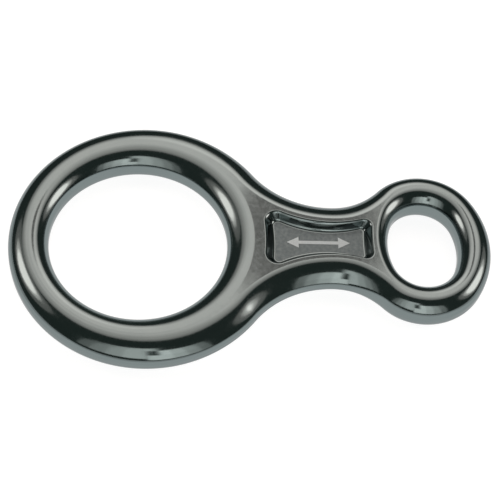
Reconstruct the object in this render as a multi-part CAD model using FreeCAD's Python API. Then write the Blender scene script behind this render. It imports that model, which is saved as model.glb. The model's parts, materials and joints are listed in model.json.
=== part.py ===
"""Figure-eight rope descender: one forged aluminium body, with a big ring for the rope,
a small eye for the carabiner and a neck with a coined pocket in each face.

Millimetres. The origin is the centre of the rope ring's bore, half way through the thickness.
+X runs from the rope ring to the eye, +Y across the neck and +Z out of the face.

Every edge that a rope or a carabiner bears on is rounded right up to the crest, so the rings have
an oval section. The body is built as a skin: the rounded bands along the three outlines, the
narrow land of the die's parting line, and a flat top and bottom, all sewn into one solid. The
pockets are then cut into both faces.
"""
import FreeCAD, Part
import math
import os

Vector = FreeCAD.Vector

# Whole forging
THICKNESS = 12.0
CREST_Z = THICKNESS / 2
PARTING_LAND = 1.0      # height of the trimmed parting line, half way up every side
CREST_FLAT = 0.5        # width left flat along the crest of both rings

# Rope ring: its outer circle sits off the bore's centre, so the ring grows towards the neck
RING_BORE_R = 26.8
RING_OUTER_R = 41.25
RING_OUTER_X = 2.45

# Carabiner eye: both outlines are ovals of four tangent arcs, longer across the part
EYE_X = 86.3
EYE_HALF_X = 10.7
EYE_HALF_Y = 14.2
EYE_END_R = 9.9
EYE_OUTER_HALF_X = 20.85
EYE_OUTER_HALF_Y = 24.9
EYE_OUTER_END_R = 19.05
EYE_NECK_RELIEF = 0.7   # the eye's rounding is this much narrower where it faces the pocket

# Neck: half its width where it is narrowest, and how far the rounding of its sides reaches in
WAIST_X = 58.6
WAIST_HALF_Y = 13.75
NECK_ROUNDING = 6.95
NECK_FULLNESS = 0.46            # of the section of its edge, where 0 would be a flat chamfer
RING_BLEND_X = (8.0, 42.0)      # the ring's rounding turns into the neck's between these
EYE_BLEND_X = (62.0, 78.0)      # and the neck's into the eye's between these

# Coined pocket, the same in both faces. Its four sides bow inwards and its walls slope.
POCKET_DEPTH = 2.9
POCKET_END_BOW_R = 60.0
RIM = {
    "left_x": 38.3, "right_x": 70.2, "waist_x": 58.0, "waist_half_y": 5.35, "side_r": 35.0,
    "left_corner_r": 3.4, "right_corner_r": 2.2,
}
FLOOR = {
    "left_x": 40.6, "right_x": 68.3, "waist_x": 57.5, "waist_half_y": 4.05, "side_r": 33.1,
    "left_corner_r": 1.9, "right_corner_r": 1.3,
}
POCKET_RIM_EDGE_R = 1.2
POCKET_FLOOR_EDGE_R = 1.3

ELLIPSE_FULLNESS = math.sqrt(0.5)       # of the rings' edges, whose sections are ellipses

# How closely the bands follow their outlines, and how many faces each is laid in
STEP = math.radians(6)
OUTSIDE_PATCHES = 8
BORE_PATCHES = 4
NEAR = 1e-4
SEWING_TOLERANCE = 1e-3

MID = Vector(0, 0, 0)
ACROSS = Vector(0, 1, 0)
UP = Vector(0, 0, 1)


def smooth(value, limits):
    """0 below the first limit, 1 above the second, and an even rise between them."""
    share = min(max((value - limits[0]) / (limits[1] - limits[0]), 0.0), 1.0)
    return share * share * (3 - 2 * share)


def on_circle(centre, radius, angle):
    return Vector(centre[0] + radius * math.cos(angle), centre[1] + radius * math.sin(angle), 0)


def direction(start, end):
    """The angle of the line from one point to the other."""
    return math.atan2(end[1] - start[1], end[0] - start[0])


def arc(centre, radius, start, end):
    """The edge of a circle from one angle to the other, through the angle half way."""
    points = [on_circle(centre, radius, angle) for angle in (start, (start + end) / 2, end)]
    return Part.Arc(*points).toShape()


def trace(centre, radius, start, end, outward):
    """Points along an arc, without its last, each with its unit normal.

    outward is 1 where the normal points away from the arc's centre and -1 where it points to it.
    """
    count = math.ceil(abs(end - start) / STEP)
    angles = [start + (end - start) * step / count for step in range(count)]
    return [
        (on_circle(centre, radius, angle), Vector(math.cos(angle), math.sin(angle), 0) * outward)
        for angle in angles
    ]


def whole(half, last):
    """A closed outline: half of it, its last point on the XZ plane, and the mirror image."""
    other = [(Vector(p.x, -p.y, 0), Vector(n.x, -n.y, 0)) for p, n in reversed(half[1:])]
    return half + [(Vector(last[0], 0, 0), Vector(last[1], 0, 0))] + other


def oval(half_x, half_y, end_r):
    """Radius of an oval's side arcs, and the angle where they meet its end arcs."""
    rise = half_y - end_r
    side_r = (half_x ** 2 + rise ** 2 - end_r ** 2) / (2 * (half_x - end_r))
    return side_r, math.atan2(rise, side_r - half_x)


def rope_bore():
    """The rope ring's bore, with normals that point into the material."""
    return whole(trace((0, 0), RING_BORE_R, 0, math.pi, 1), (-RING_BORE_R, -1))


def eye_bore():
    """The eye's inner outline, with normals that point into the material."""
    side_r, meet = oval(EYE_HALF_X, EYE_HALF_Y, EYE_END_R)
    offset = side_r - EYE_HALF_X
    half = [
        *trace((EYE_X - offset, 0), side_r, 0, meet, 1),
        *trace((EYE_X, EYE_HALF_Y - EYE_END_R), EYE_END_R, meet, math.pi - meet, 1),
        *trace((EYE_X + offset, 0), side_r, math.pi - meet, math.pi, 1),
    ]
    return whole(half, (EYE_X - EYE_HALF_X, -1))


def outside():
    """The outer outline, whose two neck arcs meet at the waist.

    The normals point into the material.
    """
    side_r, meet = oval(EYE_OUTER_HALF_X, EYE_OUTER_HALF_Y, EYE_OUTER_END_R)
    tip_centre = (EYE_X + EYE_OUTER_HALF_X - side_r, 0)
    end_centre = (EYE_X, EYE_OUTER_HALF_Y - EYE_OUTER_END_R)
    ring_centre = (RING_OUTER_X, 0)
    run = EYE_X - WAIST_X
    rise = WAIST_HALF_Y - end_centre[1]
    eye_neck_r = (run ** 2 + rise ** 2 - EYE_OUTER_END_R ** 2) / (2 * (EYE_OUTER_END_R - rise))
    run = WAIST_X - RING_OUTER_X
    ring_neck_r = (run ** 2 + WAIST_HALF_Y ** 2 - RING_OUTER_R ** 2) / (2 * (RING_OUTER_R - WAIST_HALF_Y))
    eye_neck_centre = (WAIST_X, WAIST_HALF_Y + eye_neck_r)
    ring_neck_centre = (WAIST_X, WAIST_HALF_Y + ring_neck_r)
    eye_meet = direction(end_centre, eye_neck_centre)
    ring_meet = direction(ring_centre, ring_neck_centre)
    half = [
        *trace(tip_centre, side_r, 0, meet, -1),
        *trace(end_centre, EYE_OUTER_END_R, meet, eye_meet, -1),
        *trace(eye_neck_centre, eye_neck_r, eye_meet - math.pi, -math.pi / 2, 1),
        *trace(ring_neck_centre, ring_neck_r, -math.pi / 2, ring_meet - math.pi, 1),
        *trace(ring_centre, RING_OUTER_R, ring_meet, math.pi, -1),
    ]
    return whole(half, (RING_OUTER_X - RING_OUTER_R, 1))


def ring_rounding(point, normal):
    """Half the rope ring's width here, less half the flat that is left on its crest."""
    angle = math.atan2(point.y, point.x)
    off = RING_OUTER_X * math.sin(angle)
    outer = RING_OUTER_X * math.cos(angle) + math.sqrt(RING_OUTER_R ** 2 - off ** 2)
    return (outer - RING_BORE_R - CREST_FLAT) / 2


def eye_wall_rounding(normal):
    """Half the eye's wall, which is a little wider at the ends of the oval."""
    at_tip = EYE_OUTER_HALF_X - EYE_HALF_X
    at_end = EYE_OUTER_HALF_Y - EYE_HALF_Y
    return (at_tip + (at_end - at_tip) * normal.y ** 2 - CREST_FLAT) / 2


def eye_rounding(point, normal):
    """The eye's wall, with the relief where it faces the pocket."""
    return eye_wall_rounding(normal) - EYE_NECK_RELIEF * max(-normal.x, 0.0) ** 2


def outside_rounding(point, normal):
    """The ring's rounding, then the neck's, then the eye's."""
    to_neck = smooth(point.x, RING_BLEND_X)
    to_eye = smooth(point.x, EYE_BLEND_X)
    near_ring = ring_rounding(point, normal) * (1 - to_neck) + NECK_ROUNDING * to_neck
    return near_ring * (1 - to_eye) + eye_wall_rounding(normal) * to_eye


def full(point, normal):
    """How full the edge's section is: that of an ellipse."""
    return ELLIPSE_FULLNESS


def outside_fullness(point, normal):
    """The ring's and the eye's edges are elliptical. The neck's is straighter half way down."""
    neck = smooth(point.x, RING_BLEND_X) * (1 - smooth(point.x, EYE_BLEND_X))
    return ELLIPSE_FULLNESS * (1 - neck) + NECK_FULLNESS * neck


def spline(points, travel):
    """A smooth closed curve through the points, at these distances along the outline."""
    curve = Part.BSplineCurve()
    curve.interpolate(Points=points, PeriodicFlag=True, Parameters=travel)
    return curve


def band(outline, rounding, fullness, patches):
    """The rounded surface that rises from the parting line to the crest, round a closed outline.

    Its section is a conic: foot and crest are its ends, and corner is where the lines that touch it
    there would cross. Its fullness is the corner's weight, and the square root of a half makes it a
    quarter of an ellipse. The surface is laid in several faces of even length.
    """
    travel = [0.0]
    ring = outline + outline[:1]
    for (start, _), (end, _) in zip(ring, ring[1:]):
        travel.append(travel[-1] + start.distanceToPoint(end))
    low = UP * (PARTING_LAND / 2)
    high = UP * CREST_Z
    foot = spline([point + low for point, _ in outline], travel)
    corner = spline([point + high for point, _ in outline], travel)
    crest = spline([point + normal * rounding(point, normal) + high for point, normal in outline], travel)
    poles = [list(row) for row in zip(foot.getPoles(), corner.getPoles(), crest.getPoles())]
    fill = spline([point + UP * fullness(point, normal) for point, normal in outline], travel)
    weights = [[1.0, pole.z, 1.0] for pole in fill.getPoles()]
    surface = Part.BSplineSurface()
    surface.buildFromPolesMultsKnots(
        poles, foot.getMultiplicities(), [3, 3], foot.getKnots(), [0.0, 1.0],
        True, False, foot.Degree, 2, weights
    )
    cuts = [travel[round(index * len(outline) / patches)] for index in range(patches + 1)]
    faces = []
    for start, end in zip(cuts, cuts[1:]):
        patch = surface.copy()
        patch.segment(start, end, 0.0, 1.0)
        faces.append(patch.toShape())
    return faces


def along(shape, z):
    """The shape's edges that run at this height."""
    return [
        edge for edge in shape.Edges
        if all(abs(edge.valueAt(at).z - z) < NEAR for at in (edge.FirstParameter, edge.LastParameter))
    ]


def mirrored(faces, normal):
    """The faces and their mirror images across the plane through the origin."""
    return faces + [face.mirror(MID, normal) for face in faces]


def feet(faces):
    """The edges that a band stands on."""
    return [edge for face in faces for edge in along(face, PARTING_LAND / 2)]


def upright(edge):
    """The strip of the parting line that hangs from a foot edge."""
    return edge.translated(UP * -PARTING_LAND).extrude(UP * PARTING_LAND)


def bore_wall(edge):
    """The same strip as part of a true cylinder, for the rope ring's bore."""
    lower = edge.translated(UP * -PARTING_LAND)
    start = edge.valueAt(edge.FirstParameter)
    end = edge.valueAt(edge.LastParameter)
    rise = Part.makeLine(end - UP * PARTING_LAND, end)
    fall = Part.makeLine(start, start - UP * PARTING_LAND)
    cylinder = Part.Cylinder()
    cylinder.Radius = RING_BORE_R
    wall = Part.Face(cylinder, Part.Wire([lower, rise, edge, fall]))
    wall.validate()
    return wall


def forging():
    """The whole body without its pockets."""
    outer_band = band(outside(), outside_rounding, outside_fullness, OUTSIDE_PATCHES)
    bore_band = band(rope_bore(), ring_rounding, full, BORE_PATCHES)
    eye_band = band(eye_bore(), eye_rounding, full, BORE_PATCHES)
    bands = [outer_band, bore_band, eye_band]
    crests = [Part.Wire([edge for face in faces for edge in along(face, CREST_Z)]) for faces in bands]
    top = Part.makeFace(crests, "Part::FaceMakerBullseye")
    lands = [upright(edge) for edge in feet(outer_band + eye_band)]
    lands += [bore_wall(edge) for edge in feet(bore_band)]
    shell = Part.makeShell(mirrored(outer_band + bore_band + eye_band + [top], UP) + lands)
    shell.sewShape(SEWING_TOLERANCE)
    solid = Part.makeSolid(shell)
    if solid.Volume < 0:
        solid.reverse()
    return solid


def meeting_point(first, first_r, second, second_r):
    """The crossing of two circles that lies to the left of the line between their centres."""
    span = math.hypot(second[0] - first[0], second[1] - first[1])
    along = (first_r ** 2 - second_r ** 2 + span ** 2) / (2 * span)
    off = math.sqrt(first_r ** 2 - along ** 2)
    heading = direction(first, second)
    return (
        first[0] + along * math.cos(heading) - off * math.sin(heading),
        first[1] + along * math.sin(heading) + off * math.cos(heading),
    )


def pocket_outline(size, z):
    """A four-sided outline whose sides bow inwards and whose corners are rounded."""
    bow_r = POCKET_END_BOW_R
    side_r = size["side_r"]
    left_r = size["left_corner_r"]
    right_r = size["right_corner_r"]
    left_centre = (size["left_x"] - bow_r, 0)
    right_centre = (size["right_x"] + bow_r, 0)
    top_centre = (size["waist_x"], size["waist_half_y"] + side_r)
    left_corner = meeting_point(top_centre, side_r + left_r, left_centre, bow_r + left_r)
    right_corner = meeting_point(right_centre, bow_r + right_r, top_centre, side_r + right_r)
    left_end = direction(left_centre, left_corner)
    right_end = direction(right_centre, right_corner)
    top_from = direction(top_centre, right_corner)
    top_to = direction(top_centre, left_corner)
    upper = [
        arc(right_corner, right_r, right_end - math.pi, top_from + math.pi),
        arc(top_centre, side_r, top_from, top_to),
        arc(left_corner, left_r, top_to + math.pi, left_end + math.pi),
    ]
    edges = [
        arc(right_centre, bow_r, 2 * math.pi - right_end, right_end),
        *upper,
        arc(left_centre, bow_r, left_end, -left_end),
        *[edge.mirror(MID, ACROSS) for edge in reversed(upper)],
    ]
    return Part.Wire(Part.__sortEdges__(edges)).translated(UP * z)


def with_pockets(body):
    """The body with the same pocket coined into both faces, its rims and floors rounded."""
    floor_z = CREST_Z - POCKET_DEPTH
    punch = Part.makeLoft([pocket_outline(FLOOR, floor_z), pocket_outline(RIM, CREST_Z)], True, True)
    body = body.cut(punch).cut(punch.mirror(MID, UP))
    rims = [
        edge for edge in along(body, CREST_Z) + along(body, -CREST_Z)
        if RIM["left_x"] - 1 < edge.BoundBox.XMin and edge.BoundBox.XMax < RIM["right_x"] + 1
    ]
    body = body.makeFillet(POCKET_RIM_EDGE_R, rims)
    floors = along(body, floor_z) + along(body, -floor_z)
    return body.makeFillet(POCKET_FLOOR_EDGE_R, floors).Solids[0]


if __name__ == "__main__":
    descender_body = with_pockets(forging())
    os.makedirs("parts", exist_ok=True)
    descender_body.exportStep("parts/descender_body.step")
    box = descender_body.BoundBox
    print(f"descender_body: valid {descender_body.isValid()}, {descender_body.Volume / 1000:.2f} cm3")
    print(f"{box.XLength:.2f} x {box.YLength:.2f} x {box.ZLength:.2f} mm")
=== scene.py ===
"""Looks of the figure-eight rope descender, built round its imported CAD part.

One fine skin stands for the forged body. It repeats the body's outlines, rounded edges and
pockets as smooth rows of points, worked in millimetres and handed to Blender in metres. Three
finishes share it: polished anodising, the blasted floors of the pockets, and an etched arrow on
each floor that shows which way the part is loaded.
"""

import json
import math

import bpy
import numpy as np
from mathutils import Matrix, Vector
from mathutils.geometry import delaunay_2d_cdt


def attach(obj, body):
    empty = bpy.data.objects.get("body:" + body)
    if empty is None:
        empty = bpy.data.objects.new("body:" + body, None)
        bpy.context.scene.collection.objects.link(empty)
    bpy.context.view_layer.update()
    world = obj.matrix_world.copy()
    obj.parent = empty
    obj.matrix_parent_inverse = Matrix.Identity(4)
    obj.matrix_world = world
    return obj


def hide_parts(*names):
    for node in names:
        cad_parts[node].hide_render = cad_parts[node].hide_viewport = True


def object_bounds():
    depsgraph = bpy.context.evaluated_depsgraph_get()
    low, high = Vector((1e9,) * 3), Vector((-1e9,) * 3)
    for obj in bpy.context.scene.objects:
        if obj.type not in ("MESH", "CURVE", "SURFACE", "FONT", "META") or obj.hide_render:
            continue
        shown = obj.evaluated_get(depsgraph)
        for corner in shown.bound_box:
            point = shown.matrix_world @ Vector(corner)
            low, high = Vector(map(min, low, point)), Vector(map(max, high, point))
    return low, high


MM = 0.001
NODE = "descender_body"

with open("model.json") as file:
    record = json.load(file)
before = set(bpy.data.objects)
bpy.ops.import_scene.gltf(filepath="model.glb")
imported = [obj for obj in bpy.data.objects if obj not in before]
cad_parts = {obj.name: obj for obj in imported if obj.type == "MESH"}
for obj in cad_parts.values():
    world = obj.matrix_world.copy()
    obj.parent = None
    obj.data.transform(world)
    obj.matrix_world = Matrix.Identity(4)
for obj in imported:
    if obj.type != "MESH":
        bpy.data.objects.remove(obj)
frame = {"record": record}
cad_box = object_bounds()
low, high = (corner / MM for corner in cad_box)
mounts = {mount["name"]: mount for mount in frame["record"]["mounts"]}

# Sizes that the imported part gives, in millimetres
CREST_Z = high.z
RING_BORE_R = mounts["rope_ring_bore"]["dims"]["r_mm"]
PARTING_LAND = mounts["rope_ring_bore"]["dims"]["length_mm"]
RING_OUTER_R = high.y
RING_OUTER_X = low.x + RING_OUTER_R
EYE_X = mounts["carabiner_eye"]["pos_m"][0] / MM
EYE_OUTER_HALF_X = high.x - EYE_X

# Sizes that it shares with the CAD part
CREST_FLAT = 0.5
EYE_HALF_X = 10.7
EYE_HALF_Y = 14.2
EYE_END_R = 9.9
EYE_OUTER_HALF_Y = 24.9
EYE_OUTER_END_R = 19.05
EYE_NECK_RELIEF = 0.7
WAIST_X = 58.6
WAIST_HALF_Y = 13.75
NECK_ROUNDING = 6.95
NECK_FULLNESS = 0.46
ELLIPSE_FULLNESS = math.sqrt(0.5)
RING_BLEND_X = (8.0, 42.0)
EYE_BLEND_X = (62.0, 78.0)
POCKET_DEPTH = 2.9
POCKET_END_BOW_R = 60.0
RIM = {
    "left_x": 38.3, "right_x": 70.2, "waist_x": 58.0, "waist_half_y": 5.35, "side_r": 35.0,
    "left_corner_r": 3.4, "right_corner_r": 2.2,
}
FLOOR = {
    "left_x": 40.6, "right_x": 68.3, "waist_x": 57.5, "waist_half_y": 4.05, "side_r": 33.1,
    "left_corner_r": 1.9, "right_corner_r": 1.3,
}
POCKET_RIM_EDGE_R = 1.2
POCKET_FLOOR_EDGE_R = 1.3

# How finely the skin is laid, in millimetres along an outline and in rows across an edge
SPACING = 0.55
EDGE_ROWS = 22
FILLET_ROWS = 13
WALL_ROWS = 2
BOW_POINTS = 24
CORNER_POINTS = 14
SIDE_POINTS = 60
WELD = 1e-4             # points closer than this become one

# The etched arrow, which points both ways along the part
ARROW_X = 54.2
ARROW_HALF_LENGTH = 9.6
ARROW_HEAD_LENGTH = 3.6
ARROW_HEAD_HALF_WIDTH = 1.9
ARROW_SHAFT_HALF_WIDTH = 0.55

POLISHED, BLASTED, ETCHED = range(3)


# Outlines: each is a pair of arrays, the points in plan and their unit normals into the material

def smooth(value, limits):
    """0 below the first limit, 1 above the second, and an even rise between them."""
    share = np.clip((value - limits[0]) / (limits[1] - limits[0]), 0, 1)
    return share * share * (3 - 2 * share)


def direction(start, end):
    """The angle of the line from one point to the other."""
    return math.atan2(end[1] - start[1], end[0] - start[0])


def arc(centre, radius, start, end, outward, count=None):
    """Points along an arc, without its last. Outward is -1 where normals point to its centre."""
    count = count or math.ceil(abs(end - start) * radius / SPACING)
    angles = start + (end - start) * np.arange(count) / count
    spokes = np.column_stack([np.cos(angles), np.sin(angles)])
    return np.asarray(centre) + radius * spokes, spokes * outward


def whole(arcs, last):
    """A closed outline: the arcs of its upper half, its last point, and the mirror image."""
    points = np.vstack([*[points for points, _ in arcs], [[last[0], 0]]])
    normals = np.vstack([*[normals for _, normals in arcs], [[last[1], 0]]])
    flip = np.array([1, -1])
    return tuple(np.vstack([upper, upper[-2:0:-1] * flip]) for upper in (points, normals))


def backwards(outline):
    """The same outline run the other way, as a hole in the material is."""
    points, normals = outline
    return points[::-1], normals[::-1]


def oval(half_x, half_y, end_r):
    """Radius of an oval's side arcs, and the angle where they meet its end arcs."""
    rise = half_y - end_r
    side_r = (half_x ** 2 + rise ** 2 - end_r ** 2) / (2 * (half_x - end_r))
    return side_r, math.atan2(rise, side_r - half_x)


def rope_bore():
    return backwards(whole([arc((0, 0), RING_BORE_R, 0, math.pi, 1)], (-RING_BORE_R, -1)))


def eye_bore():
    side_r, meet = oval(EYE_HALF_X, EYE_HALF_Y, EYE_END_R)
    offset = side_r - EYE_HALF_X
    arcs = [
        arc((EYE_X - offset, 0), side_r, 0, meet, 1),
        arc((EYE_X, EYE_HALF_Y - EYE_END_R), EYE_END_R, meet, math.pi - meet, 1),
        arc((EYE_X + offset, 0), side_r, math.pi - meet, math.pi, 1),
    ]
    return backwards(whole(arcs, (EYE_X - EYE_HALF_X, -1)))


def outside():
    """The outer outline, whose two neck arcs meet at the waist."""
    side_r, meet = oval(EYE_OUTER_HALF_X, EYE_OUTER_HALF_Y, EYE_OUTER_END_R)
    tip_centre = (EYE_X + EYE_OUTER_HALF_X - side_r, 0)
    end_centre = (EYE_X, EYE_OUTER_HALF_Y - EYE_OUTER_END_R)
    ring_centre = (RING_OUTER_X, 0)
    run = EYE_X - WAIST_X
    rise = WAIST_HALF_Y - end_centre[1]
    eye_neck_r = (run ** 2 + rise ** 2 - EYE_OUTER_END_R ** 2) / (2 * (EYE_OUTER_END_R - rise))
    run = WAIST_X - RING_OUTER_X
    reach = run ** 2 + WAIST_HALF_Y ** 2 - RING_OUTER_R ** 2
    ring_neck_r = reach / (2 * (RING_OUTER_R - WAIST_HALF_Y))
    eye_neck_centre = (WAIST_X, WAIST_HALF_Y + eye_neck_r)
    ring_neck_centre = (WAIST_X, WAIST_HALF_Y + ring_neck_r)
    eye_meet = direction(end_centre, eye_neck_centre)
    ring_meet = direction(ring_centre, ring_neck_centre)
    arcs = [
        arc(tip_centre, side_r, 0, meet, -1),
        arc(end_centre, EYE_OUTER_END_R, meet, eye_meet, -1),
        arc(eye_neck_centre, eye_neck_r, eye_meet - math.pi, -math.pi / 2, 1),
        arc(ring_neck_centre, ring_neck_r, -math.pi / 2, ring_meet - math.pi, 1),
        arc(ring_centre, RING_OUTER_R, ring_meet, math.pi, -1),
    ]
    return whole(arcs, (RING_OUTER_X - RING_OUTER_R, 1))


def ring_rounding(points, normals):
    """Half the rope ring's width at each point, less half the flat left on its crest."""
    angles = np.arctan2(points[:, 1], points[:, 0])
    off = RING_OUTER_X * np.sin(angles)
    outer = RING_OUTER_X * np.cos(angles) + np.sqrt(RING_OUTER_R ** 2 - off ** 2)
    return (outer - RING_BORE_R - CREST_FLAT) / 2


def eye_wall_rounding(normals):
    """Half the eye's wall, which is a little wider at the ends of the oval."""
    at_tip = EYE_OUTER_HALF_X - EYE_HALF_X
    at_end = EYE_OUTER_HALF_Y - EYE_HALF_Y
    return (at_tip + (at_end - at_tip) * normals[:, 1] ** 2 - CREST_FLAT) / 2


def eye_rounding(points, normals):
    return eye_wall_rounding(normals) - EYE_NECK_RELIEF * np.maximum(-normals[:, 0], 0) ** 2


def outside_rounding(points, normals):
    """The ring's rounding, then the neck's, then the eye's."""
    to_neck = smooth(points[:, 0], RING_BLEND_X)
    to_eye = smooth(points[:, 0], EYE_BLEND_X)
    near_ring = ring_rounding(points, normals) * (1 - to_neck) + NECK_ROUNDING * to_neck
    return near_ring * (1 - to_eye) + eye_wall_rounding(normals) * to_eye


def meeting_point(first, first_r, second, second_r):
    """The crossing of two circles that lies to the left of the line between their centres."""
    span = math.hypot(second[0] - first[0], second[1] - first[1])
    along = (first_r ** 2 - second_r ** 2 + span ** 2) / (2 * span)
    off = math.sqrt(first_r ** 2 - along ** 2)
    heading = direction(first, second)
    return (
        first[0] + along * math.cos(heading) - off * math.sin(heading),
        first[1] + along * math.sin(heading) + off * math.cos(heading),
    )


def pocket_outline(size):
    """Points round a four-sided outline whose sides bow inwards and whose corners are rounded."""
    bow_r = POCKET_END_BOW_R
    side_r = size["side_r"]
    left_r = size["left_corner_r"]
    right_r = size["right_corner_r"]
    left_centre = (size["left_x"] - bow_r, 0)
    right_centre = (size["right_x"] + bow_r, 0)
    top_centre = (size["waist_x"], size["waist_half_y"] + side_r)
    left_corner = meeting_point(top_centre, side_r + left_r, left_centre, bow_r + left_r)
    right_corner = meeting_point(right_centre, bow_r + right_r, top_centre, side_r + right_r)
    left_end = direction(left_centre, left_corner)
    right_end = direction(right_centre, right_corner)
    top_from = direction(top_centre, right_corner)
    top_to = direction(top_centre, left_corner)
    arcs = [
        arc(right_centre, bow_r, math.pi, right_end, 1, BOW_POINTS),
        arc(right_corner, right_r, right_end - math.pi, top_from + math.pi, -1, CORNER_POINTS),
        arc(top_centre, side_r, top_from, top_to, 1, SIDE_POINTS),
        arc(left_corner, left_r, top_to + math.pi, left_end + math.pi, -1, CORNER_POINTS),
        arc(left_centre, bow_r, left_end, 0, 1, BOW_POINTS),
    ]
    return whole(arcs, (size["left_x"], 1))[0]


def arrow_outline():
    """An arrow with a head at both ends, from its right tip."""
    tip = ARROW_HALF_LENGTH
    neck = tip - ARROW_HEAD_LENGTH
    right = [(tip, 0), (neck, ARROW_HEAD_HALF_WIDTH), (neck, ARROW_SHAFT_HALF_WIDTH)]
    upper = right + [(-x, y) for x, y in reversed(right)]
    lower = [(x, -y) for x, y in reversed(upper[1:-1])]
    return np.array(upper + lower) + (ARROW_X, 0)


# The skin: rows of points that follow an outline, each row at its own height

def stacked(plan, heights):
    """Rows of points in space from rows of points in plan and the height of each."""
    return np.dstack([plan, np.broadcast_to(heights, plan.shape[:2])])


def bore_fullness(points, normals):
    """Both bores' edges are elliptical."""
    return np.full(len(points), ELLIPSE_FULLNESS)


def outside_fullness(points, normals):
    """The ring's and the eye's edges are elliptical. The neck's is straighter half way down."""
    neck = smooth(points[:, 0], RING_BLEND_X) * (1 - smooth(points[:, 0], EYE_BLEND_X))
    return ELLIPSE_FULLNESS * (1 - neck) + NECK_FULLNESS * neck


def edge_band(outline, rounding, fullness):
    """A rounded edge from its lower crest, over the parting line, to its upper crest.

    Its section is a conic, and its fullness is the weight of the corner that it rounds off.
    """
    points, normals = outline
    width = rounding(points, normals)
    climb = np.linspace(0, 1, EDGE_ROWS)[:, None]
    corner = 2 * fullness(points, normals) * climb * (1 - climb)
    whole_weight = (1 - climb) ** 2 + corner + climb ** 2
    inset = width * climb ** 2 / whole_weight
    share = (corner + climb ** 2) / whole_weight
    rise = PARTING_LAND / 2 + (CREST_Z - PARTING_LAND / 2) * share
    inset = np.vstack([inset[::-1], inset])[:, :, None]
    heights = np.vstack([-rise[::-1], rise])
    return stacked(points[None] + normals[None] * inset, heights)


def pocket_side():
    """The pocket's rim, sloping wall and floor edge, from the face down to the floor."""
    rim = pocket_outline(RIM)
    run = pocket_outline(FLOOR) - rim
    reach = np.linalg.norm(run, axis=1)
    inward = run / reach[:, None]
    slope = np.arctan2(POCKET_DEPTH, reach)
    turns = slope * np.linspace(0, 1, FILLET_ROWS)[:, None]
    rim_start = -POCKET_RIM_EDGE_R * np.tan(slope / 2)
    rim_across = rim_start + POCKET_RIM_EDGE_R * np.sin(turns)
    rim_drop = POCKET_RIM_EDGE_R * (1 - np.cos(turns))
    floor_end = reach + POCKET_FLOOR_EDGE_R * np.tan(slope / 2)
    floor_across = (floor_end - POCKET_FLOOR_EDGE_R * np.sin(turns))[::-1]
    floor_drop = (POCKET_DEPTH - POCKET_FLOOR_EDGE_R * (1 - np.cos(turns)))[::-1]
    wall = np.linspace(0, 1, WALL_ROWS + 2)[1:-1, None]
    wall_across = rim_across[-1] + (floor_across[0] - rim_across[-1]) * wall
    wall_drop = rim_drop[-1] + (floor_drop[0] - rim_drop[-1]) * wall
    across = np.vstack([rim_across, wall_across, floor_across])
    drop = np.vstack([rim_drop, wall_drop, floor_drop])
    return stacked(rim[None] + inward[None] * across[:, :, None], CREST_Z - drop)


def grid_normals(rows):
    """Unit normals of closed rows of points. Rows that end in a flat face are set straight up or
    down by the caller.
    """
    along = np.roll(rows, -1, axis=1) - np.roll(rows, 1, axis=1)
    across = np.gradient(rows, axis=0)
    normals = np.cross(along, across)
    return normals / np.linalg.norm(normals, axis=2, keepdims=True)


def inside(points, loop):
    """Which points lie inside a closed loop."""
    x, y = points.T
    found = np.zeros(len(points), bool)
    for (x0, y0), (x1, y1) in zip(loop, np.roll(loop, -1, axis=0)):
        crosses = (y0 > y) != (y1 > y)
        if crosses.any():
            found ^= crosses & (x < x0 + (y - y0) * (x1 - x0) / ((y1 - y0) or 1.0))
    return found


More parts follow.
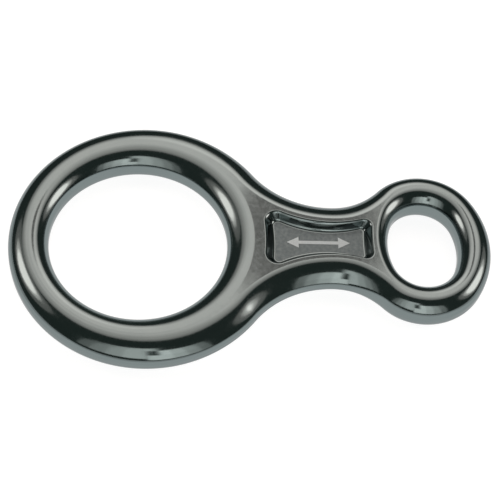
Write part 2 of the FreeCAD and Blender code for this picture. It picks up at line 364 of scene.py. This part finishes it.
class Skin:
    """Points, normals and faces, welded into one closed mesh at the end."""

    def __init__(self):
        self.points, self.normals, self.faces, self.finishes = [], [], [], []
        self.count = 0

    def add(self, points, normals, faces, finish):
        self.points.append(points)
        self.normals.append(normals)
        self.faces += [[self.count + corner for corner in face] for face in faces]
        self.finishes += [finish] * len(faces)
        self.count += len(points)

    def add_both(self, points, normals, faces, finish):
        """The same surface on the top and, mirrored, on the bottom."""
        flip = np.array([1, 1, -1])
        self.add(points, normals, faces, finish)
        self.add(points * flip, normals * flip, [face[::-1] for face in faces], finish)

    def rows(self, rows, normals, add, finish):
        """Closed rows of points as a strip of four-sided faces between each row and the next."""
        height, length = rows.shape[:2]
        faces = [
            (row * length + at, row * length + (at + 1) % length,
             (row + 1) * length + (at + 1) % length, (row + 1) * length + at)
            for row in range(height - 1) for at in range(length)
        ]
        add(rows.reshape(-1, 3), normals.reshape(-1, 3), faces, finish)

    def flat(self, loops, z, finishes):
        """A level face between loops.

        A region inside one loop takes the first finish, one inside two takes the second, and so on.
        """
        corners = np.vstack(loops)
        edges, start = [], 0
        for loop in loops:
            edges += [(start + at, start + (at + 1) % len(loop)) for at in range(len(loop))]
            start += len(loop)
        found, _, triangles, *_ = delaunay_2d_cdt([Vector(p) for p in corners], edges, [], 1, 1e-6)
        plan = np.array([tuple(p) for p in found])
        middles = np.array([plan[list(triangle)].mean(axis=0) for triangle in triangles])
        depth = sum(inside(middles, loop).astype(int) for loop in loops)
        points = np.column_stack([plan, np.full(len(plan), z)])
        normals = np.tile([0.0, 0.0, 1.0], (len(plan), 1))
        for level, finish in enumerate(finishes, 1):
            faces = [triangle for triangle, deep in zip(triangles, depth) if deep == level]
            self.add_both(points, normals, faces, finish)

    def mesh(self, name):
        """The welded mesh, in metres, shaded by its own normals."""
        points = np.vstack(self.points)
        grid = np.round(points / WELD)
        _, first, place = np.unique(grid, axis=0, return_index=True, return_inverse=True)
        place = place.ravel()
        normals = np.zeros((len(first), 3))
        np.add.at(normals, place, np.vstack(self.normals))
        used = np.unique(place[np.concatenate([np.asarray(face) for face in self.faces])])
        renumber = np.full(len(first), -1)
        renumber[used] = np.arange(len(used))
        faces = [tuple(renumber[place[list(face)]].tolist()) for face in self.faces]
        normals = normals[used] / np.linalg.norm(normals[used], axis=1, keepdims=True)
        mesh = bpy.data.meshes.new(name)
        mesh.from_pydata((points[first[used]] * MM).tolist(), [], faces)
        mesh.polygons.foreach_set("use_smooth", [True] * len(faces))
        mesh.polygons.foreach_set("material_index", self.finishes)
        mesh.normals_split_custom_set_from_vertices(normals.tolist())
        mesh.update()
        return mesh


def build_body():
    """The whole forging as one piece, in three finishes."""
    skin = Skin()
    bands = [
        edge_band(outside(), outside_rounding, outside_fullness),
        edge_band(rope_bore(), ring_rounding, bore_fullness),
        edge_band(eye_bore(), eye_rounding, bore_fullness),
    ]
    for rows in bands:
        normals = grid_normals(rows)
        normals[0] = (0, 0, -1)
        normals[-1] = (0, 0, 1)
        skin.rows(rows, normals, skin.add, POLISHED)
    rows = pocket_side()
    normals = grid_normals(rows)
    normals[[0, -1]] = (0, 0, 1)
    skin.rows(rows, normals, skin.add_both, POLISHED)
    skin.flat([*[band[-1, :, :2] for band in bands], rows[0, :, :2]], CREST_Z, [POLISHED])
    skin.flat([rows[-1, :, :2], arrow_outline()], CREST_Z - POCKET_DEPTH, [BLASTED, ETCHED])
    body = bpy.data.objects.new(NODE + "_skin", skin.mesh(NODE + "_skin"))
    bpy.context.scene.collection.objects.link(body)
    return body


# Finishes

NOISE_MIDDLE = (0.3, 0.7)       # nearly all of a noise's values fall between these


class Finish:
    """A material of one Principled shader and the nodes that feed it."""

    def __init__(self, name, **sockets):
        self.material = bpy.data.materials.new(name)
        self.material.use_nodes = True
        self.nodes = self.material.node_tree.nodes
        self.links = self.material.node_tree.links
        self.shader = self.nodes["Principled BSDF"]
        for socket, value in sockets.items():
            self.shader.inputs[socket.replace("_", " ")].default_value = value
        self.place = self.nodes.new("ShaderNodeTexCoord").outputs["Object"]

    def noise(self, scale, detail):
        """Noise with this many lumps to the metre, and this many finer layers on them."""
        node = self.nodes.new("ShaderNodeTexNoise")
        node.inputs["Scale"].default_value = scale
        node.inputs["Detail"].default_value = detail
        self.links.new(self.place, node.inputs["Vector"])
        return node.outputs["Fac"]

    def spread(self, value, low, high):
        """A value that runs from low to high as the noise goes through its middle range."""
        node = self.nodes.new("ShaderNodeMapRange")
        limits = ("From Min", "From Max", "To Min", "To Max")
        for socket, number in zip(limits, (*NOISE_MIDDLE, low, high)):
            node.inputs[socket].default_value = number
        self.links.new(value, node.inputs["Value"])
        return node.outputs["Result"]

    def colour(self, value, dark, light):
        """Mixes two colours by a value and feeds the base colour."""
        node = self.nodes.new("ShaderNodeMix")
        node.data_type = "RGBA"
        colours = [socket for socket in node.inputs if socket.type == "RGBA"]
        for socket, tone in zip(colours, (dark, light)):
            socket.default_value = (*tone, 1)
        mixed = next(socket for socket in node.outputs if socket.type == "RGBA")
        self.links.new(value, node.inputs["Factor"])
        self.links.new(mixed, self.shader.inputs["Base Color"])

    def feed(self, socket, value):
        self.links.new(value, self.shader.inputs[socket])

    def relief(self, height, depth):
        """Bumps of this depth, in millimetres."""
        node = self.nodes.new("ShaderNodeBump")
        node.inputs["Distance"].default_value = depth * MM
        self.links.new(height, node.inputs["Height"])
        self.links.new(node.outputs["Normal"], self.shader.inputs["Normal"])


def polished_finish():
    """Polished and dyed dark grey: a slightly wavy mirror, a little duller in places."""
    finish = Finish("anodised_polished", Metallic=1.0, Specular_Tint=(0.75, 0.75, 0.75, 1))
    finish.colour(finish.noise(160, 3), (0.195, 0.232, 0.232), (0.215, 0.252, 0.25))
    finish.feed("Roughness", finish.spread(finish.noise(900, 4), 0.09, 0.15))
    finish.relief(finish.noise(110, 1), 0.03)
    return finish.material


def blasted_finish():
    """The floor of a coined pocket, matte and finely pitted."""
    finish = Finish("anodised_blasted", Metallic=1.0, Specular_Tint=(0.8, 0.8, 0.8, 1))
    finish.colour(finish.noise(1000, 5), (0.07, 0.088, 0.09), (0.19, 0.222, 0.226))
    finish.feed("Roughness", finish.spread(finish.noise(2400, 2), 0.32, 0.46))
    finish.relief(finish.noise(3800, 2), 0.04)
    return finish.material


def etched_finish():
    """Bare pale metal where the dyed skin is etched away."""
    finish = Finish("etched_mark", Metallic=0.3)
    finish.colour(finish.noise(2600, 3), (0.5, 0.555, 0.57), (0.68, 0.745, 0.76))
    finish.feed("Roughness", finish.spread(finish.noise(3000, 2), 0.5, 0.7))
    finish.relief(finish.noise(5200, 2), 0.03)
    return finish.material


# The studio, in millimetres and degrees

CAMERA_PLACE = (2.1, -244.7, 392.4)
CAMERA_TURN = (31.82, -3.93, -1.09)
CAMERA_LENS = 110.3
SENSOR_WIDTH = 36.0

ROOM_COLOUR = (0.047, 0.062, 0.056)
TABLE_HALF_SIDE = 3000
TABLE_GAP = 0.05
TABLE_TONE = 0.35
TABLE_GLOW = 0.88
WHITE = (1, 1, 1)

# Overlapping layers of one light stand this far apart, so that they add up
LAYER_GAP = 6

# Round lights: azimuth and elevation, distance, and the width, height and radiance of each layer
DISH_COLOUR = (1.0, 0.875, 0.83)
DISHES = [
    ("dish", (80, 58), 480, [(660, 640, 0.4), (590, 570, 0.3), (480, 460, 0.25)]),
    ("dish_glow", (76, 51), 450, [(440, 400, 0.22), (400, 310, 0.22), (320, 220, 0.25)]),
    ("dish_tail", (76, 34), 430, [(220, 230, 0.3), (150, 160, 0.2)]),
    ("right_dish", (1, 24), 500, [(420, 420, 0.35), (290, 330, 0.9), (220, 270, 1.95)]),
    ("left_dish", (166, 36), 400, [(360, 340, 0.3), (220, 250, 0.9), (160, 200, 1.8)]),
]

# The dimmer disc in the middle of the dish
HUB_TOWARDS = (66.8, 55.8)
HUB_DISTANCE = 430
HUB_R = 45
HUB_CORNERS = 48
HUB_RADIANCE = 0.4

# Upright lights in front: left and right X, bottom and top Z, radiance, and the width over which
# each side fades
FRONT_Y = -300
FRONT_COLOUR = (0.92, 0.895, 0.867)
FADE_STEPS = 4
FRONT_LIGHTS = [
    ("front_left", (-170, 16), (30, 385), 1.3, (200, 16)),
    ("front_low_right", (16, 200), (-16, 140), 1.7, (0, 180)),
    ("front_right", (62, 200), (140, 335), 1.9, (16, 180)),
    ("front_bridge", (16, 62), (335, 385), 1.3, (0, 16)),
    ("front_cap", (-150, 62), (385, 515), 1.3, (190, 30)),
]

# Glowing boards below the part, which only the polish shows: the near left and far right corners,
# Z and radiance
BOARDS = [
    ("near_board", (-170, -170), (240, 150), -50, 1.0),
    ("wide_board", (-420, -340), (460, 300), -52, 0.68),
]


def unit_towards(azimuth, elevation):
    """The unit vector at this azimuth from +X and this elevation, in degrees."""
    azimuth = math.radians(azimuth)
    elevation = math.radians(elevation)
    level = math.cos(elevation)
    return Vector((level * math.cos(azimuth), level * math.sin(azimuth), math.sin(elevation)))


def soft_light(name, shape, size, radiance, place, away, colour):
    """An area light that shines against away. The camera sees only what it lights."""
    light = bpy.data.lights.new(name, "AREA")
    light.shape = shape
    light.size = size[0] * MM
    light.size_y = size[1] * MM
    light.color = colour
    share = math.pi / 4 if shape == "ELLIPSE" else 1
    light.energy = radiance * math.pi * share * light.size * light.size_y
    lamp = bpy.data.objects.new(name, light)
    lamp.location = place * MM
    lamp.rotation_euler = away.to_track_quat("Z", "Y").to_euler()
    lamp.visible_camera = False
    bpy.context.scene.collection.objects.link(lamp)


def aimed(name, towards, distance, layers):
    """A round light in this direction from the rope ring's centre, in layers for a soft edge."""
    away = unit_towards(*towards)
    for layer, (width, height, radiance) in enumerate(layers):
        place = away * (distance + LAYER_GAP * layer)
        soft_light(name, "ELLIPSE", (width, height), radiance, place, away, DISH_COLOUR)


def standing(name, sides, heights, radiance, fade):
    """An upright light in front of the part, in layers of different widths so that it fades."""
    for layer in range(FADE_STEPS):
        shift = layer / (FADE_STEPS - 1) - 0.5
        left = sides[0] + fade[0] * shift
        right = sides[1] - fade[1] * shift
        size = (right - left, heights[1] - heights[0])
        place = Vector(((left + right) / 2, FRONT_Y - LAYER_GAP * layer, sum(heights) / 2))
        share = radiance / FADE_STEPS
        soft_light(name, "RECTANGLE", size, share, place, Vector((0, -1, 0)), FRONT_COLOUR)


def flat_sheet(name, corners, finish):
    """A flat staged sheet with these corners, in millimetres."""
    mesh = bpy.data.meshes.new(name)
    mesh.from_pydata([tuple(corner * MM) for corner in corners], [], [tuple(range(len(corners)))])
    mesh.materials.append(finish.material)
    sheet = bpy.data.objects.new(name, mesh)
    bpy.context.scene.collection.objects.link(sheet)
    return sheet


def level_corners(near_left, far_right, z):
    """The corners of a level rectangle, anticlockwise from the near left one."""
    (left, near), (right, far) = near_left, far_right
    return [Vector((x, y, z)) for x, y in ((left, near), (right, near), (right, far), (left, far))]


def glow_finish(name, tone, colour, radiance):
    """A flat finish of this grey tone that glows evenly."""
    base = (tone, tone, tone, 1)
    finish = Finish(name, Base_Color=base, Roughness=1.0, Specular_IOR_Level=0.0)
    finish.shader.inputs["Emission Color"].default_value = (*colour, 1)
    finish.shader.inputs["Emission Strength"].default_value = radiance
    return finish


def glowing(name, corners, colour, radiance):
    """A sheet that glows evenly and shows only in the polish."""
    sheet = flat_sheet(name, corners, glow_finish(name, 0, colour, radiance))
    sheet.visible_camera = False
    sheet.visible_diffuse = False
    sheet.visible_shadow = False


def build_studio():
    world = bpy.data.worlds.new("room")
    world.use_nodes = True
    world.node_tree.nodes["Background"].inputs["Color"].default_value = (*ROOM_COLOUR, 1)
    bpy.context.scene.world = world
    for dish in DISHES:
        aimed(*dish)
    for light in FRONT_LIGHTS:
        standing(*light)
    away = unit_towards(*HUB_TOWARDS)
    turn = away.to_track_quat("Z", "Y")
    angles = [2 * math.pi * corner / HUB_CORNERS for corner in range(HUB_CORNERS)]
    rim = [turn @ Vector((HUB_R * math.cos(angle), HUB_R * math.sin(angle), 0)) for angle in angles]
    glowing("dish_hub", [away * HUB_DISTANCE + spoke for spoke in rim], DISH_COLOUR, HUB_RADIANCE)
    for name, near_left, far_right, z, radiance in BOARDS:
        glowing(name, level_corners(near_left, far_right, z), WHITE, radiance)


def build_floor():
    """A pale, faintly glowing table. The polish shows the boards below instead of it."""
    side = TABLE_HALF_SIDE
    corners = level_corners((-side, -side), (side, side), -CREST_Z - TABLE_GAP)
    floor = flat_sheet("floor", corners, glow_finish("pale_table", TABLE_TONE, WHITE, TABLE_GLOW))
    floor.visible_glossy = False


def build_camera():
    data = bpy.data.cameras.new("camera")
    data.lens = CAMERA_LENS
    data.sensor_width = SENSOR_WIDTH
    camera = bpy.data.objects.new("camera", data)
    camera.location = Vector(CAMERA_PLACE) * MM
    camera.rotation_euler = [math.radians(turn) for turn in CAMERA_TURN]
    bpy.context.scene.collection.objects.link(camera)
    bpy.context.scene.camera = camera


body = build_body()
for material in (polished_finish(), blasted_finish(), etched_finish()):
    body.data.materials.append(material)
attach(body, "root")
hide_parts(NODE)

build_floor()
build_studio()
build_camera()
bpy.context.scene.view_settings.view_transform = "Standard"
